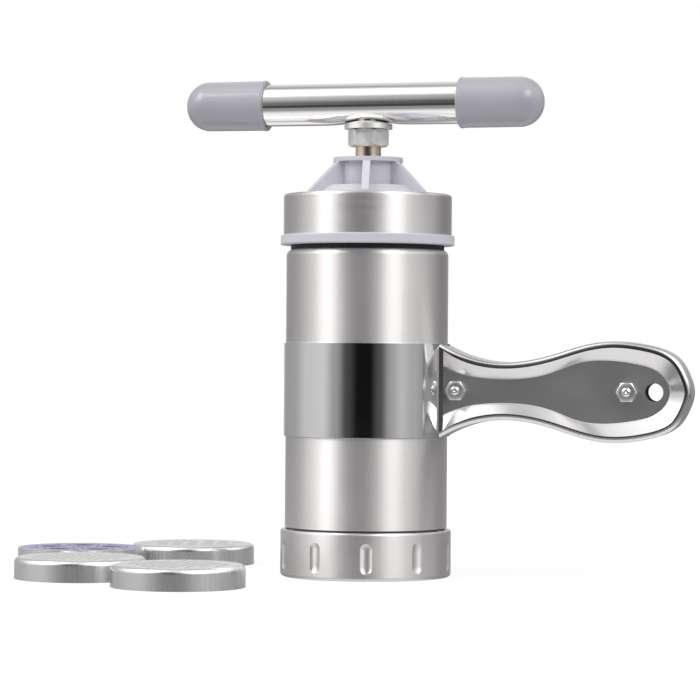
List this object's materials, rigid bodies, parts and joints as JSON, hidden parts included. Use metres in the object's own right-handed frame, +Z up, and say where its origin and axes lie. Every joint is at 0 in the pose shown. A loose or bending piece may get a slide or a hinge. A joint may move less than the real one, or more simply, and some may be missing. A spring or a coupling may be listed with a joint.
{
  "type": "hand cranked noodle press",
  "caption": "Upright steel noodle press with a T crank on a screw, a side handle, a screw-on base cap and interchangeable dies.",
  "frame": {"origin": "on the barrel's axis, in the plane that the base cap stands on", "axes": "+Z up along the barrel, +X along the side handle"},
  "size_m": [0.2903, 0.1818, 0.2087],
  "materials": {
    "brushed_steel": "stainless steel, brushed round its axis",
    "mirror_steel": "stainless steel, mirror polished",
    "polished_steel": "pressed stainless steel, polished",
    "die_steel": "stainless steel, fine satin",
    "lilac_plastic": "lilac grey moulded plastic, half gloss",
    "grip_plastic": "grey grip plastic, half gloss",
    "zinc": "bright zinc plate",
    "screw_steel": "plated steel screw with a warm tint",
    "brass": "turned brass",
    "black_rubber": "black rubber"
  },
  "bodies": {
    "barrel": {"barrel_shell": "brushed_steel", "barrel_liner": "lilac_plastic", "clamp_band": "mirror_steel", "handle_shell_front": "polished_steel", "handle_shell_back": "polished_steel", "handle_bolts": "zinc", "handle_nuts": "zinc", "clamp_spacer": "zinc", "grip_spacer": "zinc"},
    "cap_seal": {"neck_seal": "black_rubber"},
    "top_cap": {"cap_hub": "lilac_plastic", "cap_ring": "brushed_steel", "thread_bush": "brass"},
    "piston": {"piston_disc": "lilac_plastic", "piston_plate": "brushed_steel", "piston_seal": "black_rubber", "swivel_cover": "zinc", "cover_screws": "zinc"},
    "crank": {"lead_screw": "screw_steel", "lock_nut": "zinc", "seat_washer": "zinc", "crank_tube": "mirror_steel", "tube_insert": "zinc", "end_cap_left": "grip_plastic", "end_cap_right": "grip_plastic"},
    "fitted_die": {"die_large_holes": "die_steel", "die_gasket": "black_rubber"},
    "base_cap": {"base_cap_shell": "brushed_steel", "base_cap_ring": "lilac_plastic"},
    "slot_die": {"die_slots": "die_steel"},
    "small_hole_die": {"die_small_holes": "die_steel"},
    "medium_hole_die": {"die_medium_holes": "die_steel"},
    "tube_die": {"die_tubes_cup": "die_steel", "die_tubes_insert": "lilac_plastic"}
  },
  "joints": [
    {"name": "cap_rise", "type": "slide", "parent": "barrel", "child": "cap_seal", "axis": [0, 0, 1], "range_m": [0, 0.012]},
    {"name": "cap_turn", "type": "hinge", "parent": "cap_seal", "child": "top_cap", "pos_m": [0, 0, 0.15], "axis": [0, 0, 1], "range_deg": [0, 1080]},
    {"name": "piston_travel", "type": "slide", "parent": "top_cap", "child": "piston", "axis": [0, 0, 1], "range_m": [0, 0.112]},
    {"name": "crank_turn", "type": "hinge", "parent": "piston", "child": "crank", "pos_m": [0, 0, 0.1967], "axis": [0, 0, 1], "range_deg": [0, 10080]},
    {"name": "die_drop", "type": "slide", "parent": "barrel", "child": "fitted_die", "axis": [0, 0, -1], "range_m": [0, 0.009]},
    {"name": "base_cap_turn", "type": "hinge", "parent": "fitted_die", "child": "base_cap", "pos_m": [0, 0, 0.01], "axis": [0, 0, -1], "range_deg": [0, 1080]},
    {"name": "slot_die_lift", "type": "slide", "parent": "barrel", "child": "slot_die", "axis": [0, 0, 1], "range_m": [0, 0.03]},
    {"name": "small_hole_die_lift", "type": "slide", "parent": "barrel", "child": "small_hole_die", "axis": [0, 0, 1], "range_m": [0, 0.03]},
    {"name": "medium_hole_die_lift", "type": "slide", "parent": "barrel", "child": "medium_hole_die", "axis": [0, 0, 1], "range_m": [0, 0.03]},
    {"name": "tube_die_lift", "type": "slide", "parent": "barrel", "child": "tube_die", "axis": [0, 0, 1], "range_m": [0, 0.03]}
  ],
  "couplings": [
    {"joint": "cap_rise", "follows": "cap_turn", "m_per_rad": 0.00063662},
    {"joint": "piston_travel", "follows": "crank_turn", "m_per_rad": 0.00063662},
    {"joint": "die_drop", "follows": "base_cap_turn", "m_per_rad": 0.00047746}
  ]
}
